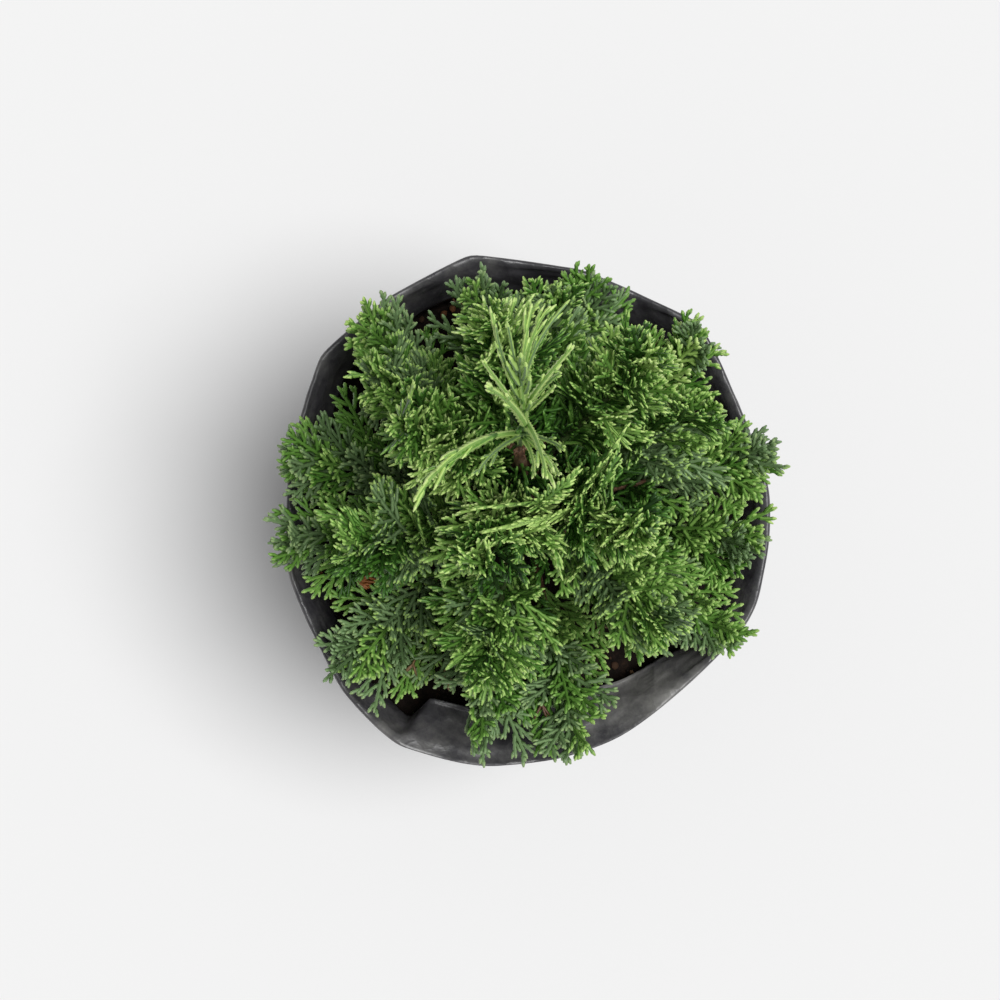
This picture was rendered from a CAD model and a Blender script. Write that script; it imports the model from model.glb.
# %% [markdown]
# # A potted conifer, seen from straight above
#
# The object is a young evergreen conifer in a soft black film growing bag. Its leaves are scales
# pressed flat against thin green shoots, so that a shoot looks like a piece of knotted cord, and
# the shoots branch in flat, fern-like sprays. The solids already hold the sizes and places. This
# script dresses them: it replaces each soft or plain solid by a finer mesh in the same place.
#
# The first cell loads the solids as a fixed frame and keeps their box, so that the last cell can
# say how far the dressed plant differs from it.

import math
import random

import bmesh
import bpy
import numpy as np
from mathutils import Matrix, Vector, noise


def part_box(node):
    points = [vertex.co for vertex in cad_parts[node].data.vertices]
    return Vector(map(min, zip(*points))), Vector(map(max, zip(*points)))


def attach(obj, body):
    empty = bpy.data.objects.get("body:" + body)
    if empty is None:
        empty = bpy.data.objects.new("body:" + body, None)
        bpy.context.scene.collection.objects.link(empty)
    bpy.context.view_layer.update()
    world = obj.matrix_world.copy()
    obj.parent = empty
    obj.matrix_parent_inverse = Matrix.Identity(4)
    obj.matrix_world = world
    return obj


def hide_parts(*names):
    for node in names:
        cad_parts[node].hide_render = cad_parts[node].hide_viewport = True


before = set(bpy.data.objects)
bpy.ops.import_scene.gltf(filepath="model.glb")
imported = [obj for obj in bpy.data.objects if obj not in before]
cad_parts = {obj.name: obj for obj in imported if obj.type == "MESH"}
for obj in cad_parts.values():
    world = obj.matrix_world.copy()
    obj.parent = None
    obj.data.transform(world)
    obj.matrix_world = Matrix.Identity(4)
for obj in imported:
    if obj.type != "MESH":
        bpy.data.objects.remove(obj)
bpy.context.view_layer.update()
BAG_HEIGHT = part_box("bag")[1].z
trunk_low, trunk_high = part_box("trunk")
mix_low, mix_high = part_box("growing_mix")


# %% [markdown]
# ## The camera
#
# The photograph looks down on the plant, leaning only three degrees from the plumb line, so the
# far side of the bag shows a little less than the near side. A 75 mm lens at 0.84 m gives the
# crown the same growth in size with height that the picture shows: the leading shoot, 0.36 m up,
# is drawn a third larger than a shoot at the rim.

# %% Camera
LENS, SENSOR = 75.0, 36.0
CAMERA_PLACE = Vector((-0.0081, -0.0320, 0.8411))
CAMERA_TILT = math.radians(3)

camera_data = bpy.data.cameras.new("camera")
camera_data.lens, camera_data.sensor_width = LENS, SENSOR
camera = bpy.data.objects.new("camera", camera_data)
camera.location = CAMERA_PLACE
camera.rotation_euler = (CAMERA_TILT, 0, 0)
bpy.context.scene.collection.objects.link(camera)
bpy.context.scene.camera = camera
print("camera", round(CAMERA_PLACE.z - BAG_HEIGHT, 3), "m above the rim")

# %% [markdown]
# ## Helpers for meshes and materials
#
# Most pieces here are sheets or skins: film, a heap of growing mix, bark round a limb. All of
# them can start as a flat grid that is rolled up, the way a bag is made from flat film: the
# grid's first direction runs round the piece and its second along it. A function says where each
# point of the grid goes, and welding the points that meet closes the seam and the poles. This
# keeps even rows of faces, which a sculpted or remeshed surface wouldn't have.

# %% Rolled sheets
WELD = 1e-6


def rolled_sheet(name, columns, rows, place):
    """A grid whose point at (round, along), both from 0 to 1, is moved to place(round, along)."""
    bm = bmesh.new()
    bmesh.ops.create_grid(bm, x_segments=columns, y_segments=rows, size=1.0)
    for v in bm.verts:
        v.co = place((v.co.x + 1) / 2, (v.co.y + 1) / 2)
    bmesh.ops.remove_doubles(bm, verts=bm.verts, dist=WELD)
    bmesh.ops.recalc_face_normals(bm, faces=bm.faces)
    mesh = bpy.data.meshes.new(name)
    bm.to_mesh(mesh)
    bm.free()
    mesh.shade_smooth()
    return mesh


def rolled_zones(name, columns, zones, place):
    """A rolled sheet in zones of so many rows. Its points are place(zone, share of it, round)."""
    rows = [(zones[0][0], 0.0)]
    for zone, count in zones:
        rows += [(zone, (step + 1) / count) for step in range(count)]
    last = len(rows) - 1

    def place_row(round_share, along):
        return place(*rows[round(along * last)], round_share)

    return rolled_sheet(name, columns, last, place_row)


def add_piece(name, mesh, materials, nodes=()):
    """Puts a mesh in the scene, riding on the plant, in place of the solids it stands for."""
    piece = bpy.data.objects.new(name, mesh)
    bpy.context.scene.collection.objects.link(piece)
    for made in materials:
        mesh.materials.append(made)
    print(name, len(mesh.polygons), "faces")
    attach(piece, "root")
    if nodes:
        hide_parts(*nodes)
    return piece


def between(start, end, share):
    return start + (end - start) * share


def smoothstep(low, high, value):
    t = min(max((value - low) / (high - low), 0.0), 1.0)
    return t * t * (3 - 2 * t)


def interpolate(table, value):
    """The second number of a table of pairs, read between its rows."""
    for (x0, y0), (x1, y1) in zip(table, table[1:]):
        if value <= x1:
            return y0 + (y1 - y0) * max(value - x0, 0.0) / (x1 - x0)
    return table[-1][1]


def polar(azimuth, radius, z=0.0):
    return Vector((radius * math.cos(azimuth), radius * math.sin(azimuth), z))


print("a table read half way between its rows", interpolate(((0, 1), (1, 3)), 0.5))

# %% [markdown]
# A finish is a Principled shader. Where it has a pattern, the pattern is a chain of nodes that
# starts at the object's own coordinates, so it stays on the piece wherever that is seen from. Each
# helper below adds one link of such a chain and hands on the socket that gives its result.

# %% Finishes and their patterns
def new_finish(name, roughness, specular=0.5, colour=None):
    """A finish as its material and its shader, of one plain colour where that is given."""
    made = bpy.data.materials.new(name)
    made.use_nodes = True
    shader = made.node_tree.nodes["Principled BSDF"]
    shader.inputs["Roughness"].default_value = roughness
    shader.inputs["Specular IOR Level"].default_value = specular
    if colour:
        shader.inputs["Base Color"].default_value = (*colour, 1)
    return made, shader


def add_node(made, kind, values, sources):
    """A node with values and with other nodes' results in its sockets, by their name or number."""
    node = made.node_tree.nodes.new(kind)
    for socket, value in values.items():
        node.inputs[socket].default_value = value
    for socket, source in sources.items():
        made.node_tree.links.new(source, node.inputs[socket])
    return node


def place_on(made, stretch=(1, 1, 1)):
    """The piece's own coordinates, stretched along the axes."""
    place = add_node(made, "ShaderNodeTexCoord", {}, {}).outputs["Object"]
    moved = add_node(made, "ShaderNodeMapping", {"Scale": stretch}, {"Vector": place})
    return moved.outputs["Vector"]


def noise_value(made, scale, detail=4.0, roughness=0.55, stretch=(1, 1, 1), distortion=0.0):
    values = {"Scale": scale, "Detail": detail, "Roughness": roughness, "Distortion": distortion}
    where = {"Vector": place_on(made, stretch)}
    return add_node(made, "ShaderNodeTexNoise", values, where).outputs["Fac"]


def patch_value(made, scale, stretch=(1, 1, 1)):
    """The distance to the nearest of scattered points: cones that meet in sharp edges."""
    where = {"Vector": place_on(made, stretch)}
    return add_node(made, "ShaderNodeTexVoronoi", {"Scale": scale}, where).outputs["Distance"]


def value_range(made, value, low, high, start=0.3, end=0.7, easing="LINEAR"):
    """A value between start and end, spread out from low to high."""
    ends = {"From Min": start, "From Max": end, "To Min": low, "To Max": high}
    ranged = add_node(made, "ShaderNodeMapRange", ends, {"Value": value})
    ranged.interpolation_type = easing
    return ranged.outputs["Result"]


def coloured(made, shader, value, stops):
    """Colours the finish by a value: each stop is a place from 0 to 1 and its colour."""
    ramp = add_node(made, "ShaderNodeValToRGB", {}, {"Fac": value})
    elements = ramp.color_ramp.elements
    while len(elements) < len(stops):
        elements.new(0.5)
    for element, (place, colour) in zip(elements, stops):
        element.position = place
        element.color = (*colour, 1.0)
    made.node_tree.links.new(ramp.outputs["Color"], shader.inputs["Base Color"])


def bumped(made, shader, heights):
    """Lays bumps over each other: each is a height and its depth in metres."""
    below = {}
    for height, depth in heights:
        bump = add_node(made, "ShaderNodeBump", {"Distance": depth}, {"Height": height, **below})
        below = {"Normal": bump.outputs["Normal"]}
    made.node_tree.links.new(below["Normal"], shader.inputs["Normal"])


floor_paint, _ = new_finish("floor_paint", 0.9, 0.1, (0.86, 0.86, 0.86))
print("the first finish is", floor_paint.name)

# %% [markdown]
# ## Floor and light
#
# The plant stands on a pale studio floor that the picture shows almost white, with one soft
# shadow falling to the left. So most of the light comes from one broad lamp high on the right,
# and an even pale surround fills the rest. A sun lamp with a wide angle gives soft edges and,
# unlike an area lamp, lights the whole floor evenly.

# %% Floor and light
FLOOR_HALF = 6.0
SUN_ENERGY, SUN_ANGLE = 2.60, math.radians(27)
SUN_FROM = Vector((0.31, -0.04, 1.0))
SURROUND_STRENGTH = 0.27

floor_mesh = bpy.data.meshes.new("floor")
bm = bmesh.new()
bmesh.ops.create_grid(bm, x_segments=1, y_segments=1, size=FLOOR_HALF)
bm.to_mesh(floor_mesh)
bm.free()
floor = bpy.data.objects.new("floor", floor_mesh)
bpy.context.scene.collection.objects.link(floor)
floor_mesh.materials.append(floor_paint)

sun_data = bpy.data.lights.new("broad_lamp", "SUN")
sun_data.energy, sun_data.angle = SUN_ENERGY, SUN_ANGLE
sun = bpy.data.objects.new("broad_lamp", sun_data)
sun.rotation_euler = SUN_FROM.to_track_quat("Z", "Y").to_euler()
bpy.context.scene.collection.objects.link(sun)

world = bpy.data.worlds.new("surround")
bpy.context.scene.world = world
world.use_nodes = True
surround = world.node_tree.nodes["Background"]
surround.inputs["Color"].default_value = (1, 1, 1, 1)
surround.inputs["Strength"].default_value = SURROUND_STRENGTH
bpy.context.scene.view_settings.view_transform = "Standard"
print("lamp", round(math.degrees(SUN_FROM.angle(Vector((0, 0, 1))))), "degrees from overhead")

# %% [markdown]
# ## The growing bag
#
# The bag is thin black film, filled to two centimetres below its rim. Its rim has been pushed
# into a ring of short straight stretches between creased corners. The film's top is turned in:
# it rolls over at the lip and hangs inside as a cuff, and at the front it is folded in much
# further, as a wide flap that lies almost flat and catches the light.
#
# A cloth simulation could crumple such a sheet, but the corners of this rim have known places, so
# the sheet is rolled up by hand. First come the rim, with its creased corners, and the side, which
# is round below and takes the rim's angular shape towards the top.

# %% The rim and the side of the bag
# Heights on the side and the radius there, below the rim's angular shape
BAG_SIDE = ((0.000, 0.0620), (0.005, 0.0685), (0.045, 0.0740), (0.095, 0.0775), (0.140, 0.0790))
# The rim's corners: degrees round from +X, radius, and how far each sags
RIM_CORNERS = (
    (5, 0.0793, 0.0010), (23, 0.0775, 0.0025), (47, 0.0833, 0.0000), (77, 0.0808, 0.0020),
    (102, 0.0853, 0.0004), (123, 0.0827, 0.0015), (143, 0.0834, 0.0002), (168, 0.0786, 0.0030),
    (195, 0.0795, 0.0012), (224, 0.0830, 0.0020), (242, 0.0860, 0.0000), (264, 0.0829, 0.0018),
    (293, 0.0793, 0.0030), (330, 0.0799, 0.0016), (347, 0.0801, 0.0028),
)
ROUND_BELOW, ANGULAR_ABOVE = 0.030, 0.150
LIP_DROP, LIP_WIDTH = 0.0014, 0.0010
# How much sharper the lip is folded where the flap starts
SHARPER = 0.5
CUFF_IN, CUFF_DOWN = 0.0085, 0.0170
# How much the cuff rounds over from the lip before it hangs down
CUFF_CURVE = 0.9
FLAP_IN, FLAP_DOWN = 0.0175, 0.0095
# Degrees round from +X where the flap starts, is whole, narrows and ends
FLAP_SPAN = (240.5, 243.5, 284, 331)
# The share of a stretch over which each corner is rounded off
CORNER_ROUND = 0.07
# How far the rim is a soft curve instead of creased stretches, by corner number round from +X
SOFT_RIM = ((0, 0.8), (2, 0.25), (4, 0.15), (6, 0.25), (9, 0.5), (10, 0.5), (11, 0.95), (15, 0.8))


def rim_corner(number):
    azimuth, radius, sag = RIM_CORNERS[number % len(RIM_CORNERS)]
    return polar(math.radians(azimuth), radius, sag)


def rim_straight(place):
    """The rim as straight stretches: x and y, with its sag for z."""
    number = math.floor(place)
    return rim_corner(number).lerp(rim_corner(number + 1), place - number)


def rim_curved(place):
    """The rim as one smooth curve through its corners."""
    number = math.floor(place)
    t = place - number
    before, start, end, after = (rim_corner(number + step) for step in (-1, 0, 1, 2))
    leave, arrive = (end - before) / 2, (after - start) / 2
    return (start * (2 * t ** 3 - 3 * t ** 2 + 1) + leave * (t ** 3 - 2 * t ** 2 + t)
            + end * (3 * t ** 2 - 2 * t ** 3) + arrive * (t ** 3 - t ** 2))


def rim_at(share):
    """Azimuth, radius and sag of the rim at a share of its way round, from corner to corner."""
    place = share * len(RIM_CORNERS)
    near = (rim_straight(place + step) for step in (-CORNER_ROUND, 0, CORNER_ROUND))
    creased = sum(near, Vector((0, 0, 0))) / 3
    p = creased.lerp(rim_curved(place), interpolate(SOFT_RIM, place % len(RIM_CORNERS)))
    return math.atan2(p.y, p.x) % math.tau, p.xy.length, p.z


def side_radius(z, rim_radius):
    return between(interpolate(BAG_SIDE, z), rim_radius, smoothstep(ROUND_BELOW, ANGULAR_ABOVE, z))


def flap_share(azimuth):
    """1 where the film is folded in as the wide front flap, 0 where it hangs by the side."""
    degrees = math.degrees(azimuth) % 360
    start, whole, narrowing, end = FLAP_SPAN
    return smoothstep(start, whole, degrees) * (1 - smoothstep(narrowing, end, degrees))


print("rim", len(RIM_CORNERS), "corners at", round(BAG_HEIGHT, 3), "m")

# %% [markdown]
# Handled film has soft dents, and flat patches that meet in sharp creases. Noise gives the dents,
# and the distance to scattered points gives the patches. A flat bag keeps the lines along which
# it was pressed, and its foot has pleats where it is gathered. Each of these is a function of a
# place on the film, which the film's own function asks point by point.

# %% Crumples and folds
# Dents and flat patches: how many to a metre round and up the bag, and their depth
DENTS = ((19, 9, 0.0050), (44, 30, 0.0016))
FLAT_PATCHES = ((24, 10, 0.0060), (60, 34, 0.0024))
# The value of each pattern that leaves the film where it is, and how far the patterns slant
DENT_LEVEL, FLAT_LEVEL, SLANT = 0.20, 0.38, 0.35
# Film bulges out little. It sinks in less and less between these two heights, because above
# them the edge of the mix comes close to it
MOST_OUTWARD, DEEPEST, DEEPEST_BY_THE_MIX = 0.0011, -0.0040, -0.0012
BY_THE_MIX = (0.105, 0.128)
GUSSET_FOLDS, GUSSET_DEPTH, GUSSET_WIDTH = (27, 152, 208, 333), 0.0010, 2.6
FOOT_PLEATS, PLEAT_DEPTH, PLEAT_TOP, PLEAT_CHANGE = 26, 0.0016, 0.045, 20
# Folds of the turned-in film: how fast they change round the bag and across the film, their depth
SLOW_FOLDS, SLOW_SLANT, FOLD_DEPTH = (2.4, 2.2), 0.6, 0.0014
FINE_FOLDS, FINE_LEVEL, FOLD_FINE_DEPTH = (6.0, 4.5), 0.3, 0.0007


def on_film(point, round_scale, up_scale):
    """Where a point of the bag lies in a noise that is slanted and stretched along the film."""
    slant = point.z * round_scale * SLANT
    return Vector((point.x * round_scale + slant, point.y * round_scale - slant, point.z * up_scale))


def crumple(point):
    """Soft dents, and flat patches of film that meet in sharp creases."""
    depth = 0.0
    for *scales, size in DENTS:
        depth += size * (DENT_LEVEL - abs(noise.noise(on_film(point, *scales))))
    for *scales, size in FLAT_PATCHES:
        depth += size * (FLAT_LEVEL - noise.voronoi(on_film(point, *scales))[0][0])
    deepest = between(DEEPEST, DEEPEST_BY_THE_MIX, smoothstep(*BY_THE_MIX, point.z))
    return min(max(depth, deepest), MOST_OUTWARD)


def side_folds(azimuth, z):
    """The pressed fold lines of the flat bag, and pleats where its foot is gathered."""
    folds = 0.0
    for line in GUSSET_FOLDS:
        away = abs((math.degrees(azimuth) - line + 180) % 360 - 180)
        folds += GUSSET_DEPTH * max(1 - away / GUSSET_WIDTH, 0.0)
    gathered = 1 - smoothstep(0.0, PLEAT_TOP, z)
    pleat = abs(noise.noise(Vector((azimuth * FOOT_PLEATS / math.pi, z * PLEAT_CHANGE, 3.0))))
    return folds - PLEAT_DEPTH * gathered * pleat


def turned_in_folds(azimuth, share):
    """Long soft folds that run along the film where it is turned in."""
    (slow_round, slow_across), (fine_round, fine_across) = SLOW_FOLDS, FINE_FOLDS
    slanted = share * slow_across + azimuth * SLOW_SLANT
    slow = noise.noise(Vector((azimuth * slow_round, slanted, 7.0)))
    fine = FINE_LEVEL - abs(noise.noise(Vector((azimuth * fine_round, share * fine_across, 2.0))))
    return FOLD_DEPTH * slow + FOLD_FINE_DEPTH * fine


print("largest patches", FLAT_PATCHES[0][2], "m deep before the limits")

# %% [markdown]
# The film's rows run from the middle of the underside, round the foot, up the side, over the lip
# and down the cuff. Foot and lip are quarter rounds. The flap reaches further in than the cuff and
# drops less, and its hem is lifted a little.

# %% The film from the middle of the base to the cuff's edge
COLUMNS_PER_CORNER = 18
FILM_ZONES = (("base", 7), ("foot", 4), ("side", 82), ("lip", 4), ("cuff", 20))
FILM = 0.0004
# Shares of the side by which crumples have set in and from which they calm down, and by how much
SET_IN, CALM_FROM, CALM_SHARE = 0.06, 0.86, 0.85
# The share of the crumples left on the lip, and of the cuff over which its own folds set in
LIP_CRUMPLE, FOLDS_SET_IN = 0.15, 0.3
HEM_FROM, HEM_RISE = 0.93, 0.0014
# How far the cuff's edge wanders in and out, and how often round the bag
EDGE_WANDER, EDGE_WAVES = 0.0022, 3.1


def place_film(zone, share, round_share):
    azimuth, radius, sag = rim_at(round_share)
    top = BAG_HEIGHT - sag
    flap = flap_share(azimuth)
    lip_drop, lip_width = LIP_DROP * (1 - SHARPER * flap), LIP_WIDTH * (1 - SHARPER * flap)
    base_radius, (foot_z, foot_radius) = BAG_SIDE[0][1], BAG_SIDE[1]
    turn = share * math.pi / 2
    if zone == "base":
        return polar(azimuth, base_radius * share)
    if zone == "foot":
        out = between(base_radius, foot_radius, math.sin(turn))
        return polar(azimuth, out, foot_z * (1 - math.cos(turn)))
    if zone == "side":
        z = between(foot_z, top - lip_drop, share)
        point = polar(azimuth, side_radius(z, radius), z)
        fade = smoothstep(0.0, SET_IN, share) * (1 - CALM_SHARE * smoothstep(CALM_FROM, 1.0, share))
        return point + polar(azimuth, (crumple(point) + side_folds(azimuth, z)) * fade)
    if zone == "lip":
        inset = lip_width * (1 - math.cos(turn))
        point = polar(azimuth, radius - inset, top - lip_drop * (1 - math.sin(turn)))
        return point + polar(azimuth, crumple(point) * LIP_CRUMPLE * (1 - share))
    edge = EDGE_WANDER * noise.noise(Vector((azimuth * EDGE_WAVES, 4.0, 0.0))) * share
    inset = between(lip_width, between(CUFF_IN, FLAP_IN, flap), share) + edge
    drop = between(CUFF_DOWN, FLAP_DOWN, flap) * share ** (1 + CUFF_CURVE * (1 - flap))
    point = polar(azimuth, radius - inset, top - drop)
    away = (polar(azimuth, -(1 - flap)) + Vector((0, 0, flap))).normalized()
    point += away * turned_in_folds(azimuth, share) * smoothstep(0.0, FOLDS_SET_IN, share)
    return point + Vector((0, 0, HEM_RISE * flap * smoothstep(HEM_FROM, 1.0, share)))


film_mesh = rolled_zones(
    "bag_film", COLUMNS_PER_CORNER * len(RIM_CORNERS), FILM_ZONES, place_film
)
side_face = max(film_mesh.polygons, key=lambda face: face.center.xy.length)
if side_face.normal.dot(side_face.center) < 0:
    film_mesh.flip_normals()
print("film bulges out to", round(side_face.center.xy.length, 4), "m")

# %% [markdown]
# Black film isn't evenly black. Where it has been handled and watered, near the top, and most of
# all at the front right, it is dusty and grey in patches. So a slow noise gives patches of dust,
# which thin out down the side, and another moves the roughness. The smallest flat patches and
# wrinkles, which break up the film's soft sheen, are too small to be worth faces and are bump.

# %% The film's finish
DUST_FROM, DUST_TO, DUST_BELOW = 0.120, 0.162, 0.16
# The way from the middle of the bag to its dustiest part, where along it dust sets in, and the
# share of dust before that
DUSTIEST_WAY = (0.45, -0.89, 0.0)
DUSTIEST_FROM, DUSTIEST_TO, DUST_ELSEWHERE = 0.040, 0.072, 0.78

film, film_shader = new_finish("black_film", 0.42, 0.6)
place = place_on(film)
height = add_node(film, "ShaderNodeSeparateXYZ", {}, {"Vector": place}).outputs["Z"]
towards = add_node(film, "ShaderNodeVectorMath", {1: DUSTIEST_WAY}, {0: place})
towards.operation = "DOT_PRODUCT"
dust = value_range(film, noise_value(film, 30, detail=8, roughness=0.72), 0.10, 1.1)
for share in (
    value_range(film, height, DUST_BELOW, 1.0, DUST_FROM, DUST_TO, "SMOOTHSTEP"),
    value_range(film, towards.outputs["Value"], DUST_ELSEWHERE, 1.0, DUSTIEST_FROM, DUSTIEST_TO,
                "SMOOTHSTEP"),
):
    product = add_node(film, "ShaderNodeMath", {}, {0: dust, 1: share})
    product.operation = "MULTIPLY"
    dust = product.outputs["Value"]
coloured(film, film_shader, dust, (
    (0.0, (0.013, 0.012, 0.015)), (0.40, (0.054, 0.052, 0.058)), (1.0, (0.215, 0.210, 0.200)),
))
sheen = value_range(film, noise_value(film, 55, detail=3), 0.30, 0.50)
film.node_tree.links.new(sheen, film_shader.inputs["Roughness"])
wrinkles = noise_value(film, 110, detail=4, roughness=0.5, stretch=(1, 1, 0.6), distortion=1.2)
bumped(film, film_shader, (
    (patch_value(film, 70, (1, 1, 0.55)), 0.0016), (patch_value(film, 170, (1, 1, 0.7)), 0.0006),
    (wrinkles, 0.0004),
))

bag = add_piece("bag_film", film_mesh, [film], ["bag"])
wall = bag.modifiers.new("film_thickness", "SOLIDIFY")
wall.thickness, wall.offset = FILM, -1.0
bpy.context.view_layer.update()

# %% [markdown]
# ## The growing mix
#
# The bag is filled with dark peat and bark crumb, heaped slightly round the trunk. It shows only
# through gaps in the foliage, deep in shade, so a rolled sheet with a rough surface is enough for
# the mass of it. Loose crumbs lie on top.

# %% The heap of mix
MIX_TOP, MIX_CROWN, MIX_FLOOR = 0.1450, mix_high.z, mix_low.z
HEAP_REACH, HEAP_POWER = 0.078, 1.5
# How far the mix stays inside the film at its top and at its side, and by what share of the side
MIX_INSET, MIX_SIDE_INSET, INSET_BY = 0.0019, 0.0078, 0.1
MIX_COLUMNS = 150
MIX_ZONES = (("top", 60), ("side", 24), ("floor", 3))
# How many lumps to a metre, and their size
LUMPS = ((60, 0.0016), (170, 0.0010), (420, 0.0006))


def mix_height(x, y):
    """The height of the heap at a place, from its edge up to its crown round the trunk."""
    share = min(math.hypot(x, y) / HEAP_REACH, 1.0)
    lumps = sum(size * noise.noise(Vector((x, y, 0.0)) * scale) for scale, size in LUMPS)
    return between(MIX_CROWN, MIX_TOP, share ** HEAP_POWER) + lumps


def place_mix(zone, share, round_share):
    azimuth, radius, _ = rim_at(round_share)
    reach = side_radius(MIX_TOP, radius) - MIX_INSET
    if zone == "top":
        p = polar(azimuth, reach * share)
        return Vector((p.x, p.y, mix_height(p.x, p.y)))
    if zone == "side":
        edge = polar(azimuth, reach)
        z = mix_height(edge.x, edge.y) * (1 - share) + MIX_FLOOR * share
        inset = between(MIX_INSET, MIX_SIDE_INSET, smoothstep(0.0, INSET_BY, share))
        return polar(azimuth, side_radius(z, radius) - inset, z)
    return polar(azimuth, (side_radius(MIX_FLOOR, radius) - MIX_SIDE_INSET) * (1 - share), MIX_FLOOR)


mix, mix_shader = new_finish("peat_mix", 0.95, 0.2)
coloured(mix, mix_shader, noise_value(mix, 260, detail=7, roughness=0.7), (
    (0.35, (0.004, 0.003, 0.002)), (0.55, (0.013, 0.008, 0.006)), (0.78, (0.050, 0.027, 0.016)),
))
bumped(mix, mix_shader, ((noise_value(mix, 700, detail=6, roughness=0.7), 0.0008),))
mix_mesh = rolled_zones("growing_mix_heap", MIX_COLUMNS, MIX_ZONES, place_mix)
add_piece("growing_mix_heap", mix_mesh, [mix], ["growing_mix"])

# %% [markdown]
# Crumbs, and later shoots, come in thousands. An object for each would be slow to draw and to
# export, so copies of a small shape are worked out as arrays and joined in one mesh. Each copy
# keeps its own size, turn and colour. A crumb is a ball of twenty faces that noise has dented.

# %% Joined copies of a small shape
def mesh_of_arrays(name, points, faces, slots):
    """A mesh from an array of points, one of faces with the same number of corners, and slots."""
    mesh = bpy.data.meshes.new(name)
    mesh.vertices.add(len(points))
    mesh.vertices.foreach_set("co", points.astype(np.float32).ravel())
    mesh.loops.add(faces.size)
    mesh.loops.foreach_set("vertex_index", faces.astype(np.int32).ravel())
    mesh.polygons.add(len(faces))
    starts = np.arange(len(faces), dtype=np.int32) * faces.shape[1]
    mesh.polygons.foreach_set("loop_start", starts)
    mesh.polygons.foreach_set("material_index", slots.astype(np.int32))
    mesh.update(calc_edges=True)
    mesh.validate()
    mesh.shade_smooth()
    return mesh


def scattered(name, template, places, turns, sizes, slots):
    """Copies of a bmesh's shape: each turned, stretched by three sizes and moved to its place."""
    corners = np.array([v.co for v in template.verts])
    faces = np.array([[v.index for v in face.verts] for face in template.faces])
    stretched = corners[None] * sizes[:, None]
    points = np.einsum("nij,nkj->nki", turns, stretched) + places[:, None]
    shift = np.arange(len(places))[:, None, None] * len(corners)
    all_faces = (faces[None] + shift).reshape(-1, faces.shape[1])
    return mesh_of_arrays(name, points.reshape(-1, 3), all_faces, np.repeat(slots, len(faces)))


def random_turns(dice, count):
    """Rotation matrices drawn evenly, from random quaternions."""
    q = dice.normal(size=(count, 4))
    w, x, y, z = (q / np.linalg.norm(q, axis=1, keepdims=True)).T
    rows = (
        (1 - 2 * (y * y + z * z), 2 * (x * y - z * w), 2 * (x * z + y * w)),
        (2 * (x * y + z * w), 1 - 2 * (x * x + z * z), 2 * (y * z - x * w)),
        (2 * (x * z - y * w), 2 * (y * z + x * w), 1 - 2 * (x * x + y * y)),
    )
    return np.array(rows).transpose(2, 0, 1)


CRUMB_CORE, CRUMB_DENTS, CRUMB_DENT_SCALE = 0.75, 0.4, 3.0
crumb = bmesh.new()
bmesh.ops.create_icosphere(crumb, subdivisions=1, radius=1.0)
for v in crumb.verts:
    v.co *= CRUMB_CORE + CRUMB_DENTS * noise.noise(v.co * CRUMB_DENT_SCALE)
crumb.verts.index_update()
print("one crumb", len(crumb.faces), "faces")

# %% [markdown]
# The crumbs lie evenly over the heap. Most are nearly black, and a few are rusty or tan. Larger
# chips of bark lie where the picture shows brown between the film and the foliage.

# %% Crumbs of peat and bark
CRUMBS, CRUMB_REACH, CRUMB_SEED = 1300, 0.0745, 5
CRUMB_SIZE, CRUMB_SPREAD, CRUMB_STRETCH = 0.0008, 0.45, (0.5, 1.5)
# The colour of each kind of crumb, and its share of them all
CRUMB_KINDS = {
    "crumb_dark": ((0.012, 0.008, 0.006), 0.77), "crumb_brown": ((0.050, 0.026, 0.014), 0.18),
    "crumb_rust": ((0.150, 0.062, 0.026), 0.035), "crumb_tan": ((0.270, 0.160, 0.085), 0.015),
}
# Places of the chips in millimetres
CHIPS = ((-24, 69), (-21, 71), (-27, 67), (38, 60), (41, 58), (43.5, 57), (37, 62), (3, 74), (6, 73))
CHIP_SIZE, CHIP_LIFT = (0.0024, 0.0016, 0.0009), 0.0006

dice = np.random.default_rng(CRUMB_SEED)
azimuths = dice.uniform(0, math.tau, CRUMBS)
reaches = CRUMB_REACH * np.sqrt(dice.uniform(0, 1, CRUMBS))
crumb_places = np.array([
    (x, y, mix_height(x, y))
    for x, y in zip(reaches * np.cos(azimuths), reaches * np.sin(azimuths))
])
crumb_sizes = dice.lognormal(math.log(CRUMB_SIZE), CRUMB_SPREAD, (CRUMBS, 1))
crumb_sizes = crumb_sizes * dice.uniform(*CRUMB_STRETCH, (CRUMBS, 3))
for n, (x, y) in enumerate(CHIPS):
    x, y = x / 1000, y / 1000
    crumb_places[n] = x, y, mix_height(x, y) + CHIP_LIFT
    crumb_sizes[n] = CHIP_SIZE
shares = [share for _, share in CRUMB_KINDS.values()]
crumb_slots = dice.choice(len(CRUMB_KINDS), CRUMBS, p=shares)
crumb_slots[:len(CHIPS)] = list(CRUMB_KINDS).index("crumb_rust")
crumb_mesh = scattered(
    "growing_mix_crumbs", crumb, crumb_places, random_turns(dice, CRUMBS), crumb_sizes, crumb_slots
)
crumb.free()
crumb_finishes = [
    new_finish(name, 0.9, 0.25, colour)[0] for name, (colour, _) in CRUMB_KINDS.items()
]
add_piece("growing_mix_crumbs", crumb_mesh, crumb_finishes)

# %% [markdown]
# ## The trunk and the boughs
#
# The trunk leans slightly back, flares where it meets the mix and tapers to a pencil's tip. Each
# bough leaves it low and curves up to its place in the crown, on one quadratic curve from the
# trunk to the tip of its foliage. These are the same curves that the solids follow, so a bough
# and the foliage that grows on from it meet.

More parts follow.
